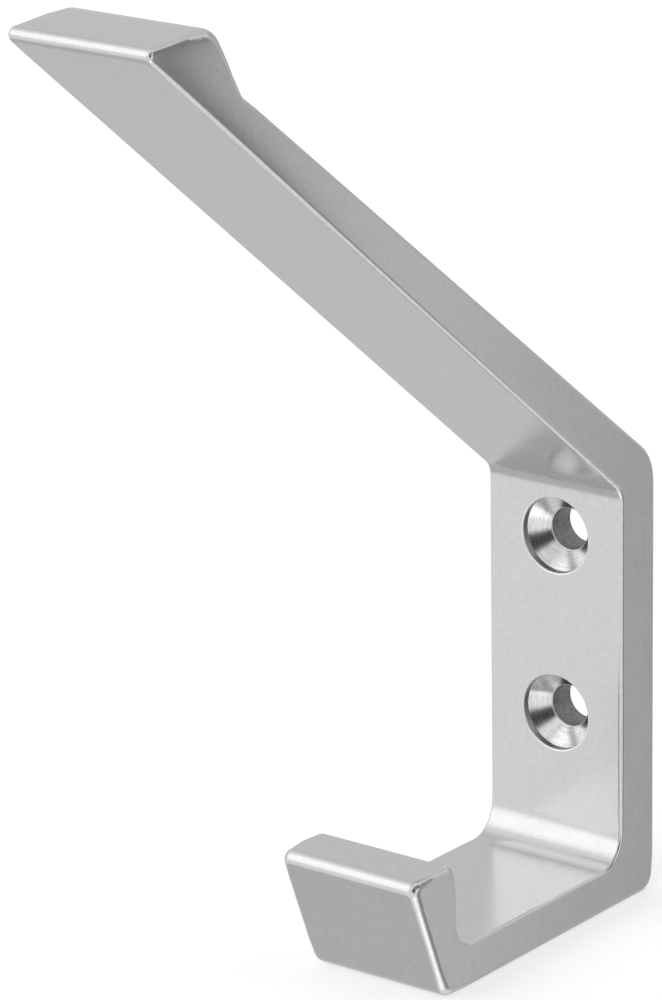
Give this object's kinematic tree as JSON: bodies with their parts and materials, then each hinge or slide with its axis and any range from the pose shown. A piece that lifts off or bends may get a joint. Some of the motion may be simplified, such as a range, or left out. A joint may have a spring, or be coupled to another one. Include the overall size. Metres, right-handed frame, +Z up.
{
  "type": "hat and coat hook",
  "caption": "Hat and coat hook of flat satin aluminium: back plate with countersunk screw holes, long rising arm with a raised tip, and a short base with an upturned lip.",
  "frame": {"origin": "on the wall face, midway between the two screw holes", "axes": "+X across the width, +Y into the wall, +Z up towards the hat peg"},
  "size_m": [0.02, 0.0948, 0.1266],
  "materials": {
    "satin_aluminium": "satin anodised, with bright turned countersinks"
  },
  "bodies": {
    "root": {"hook_body": "satin_aluminium"}
  },
  "joints": []
}
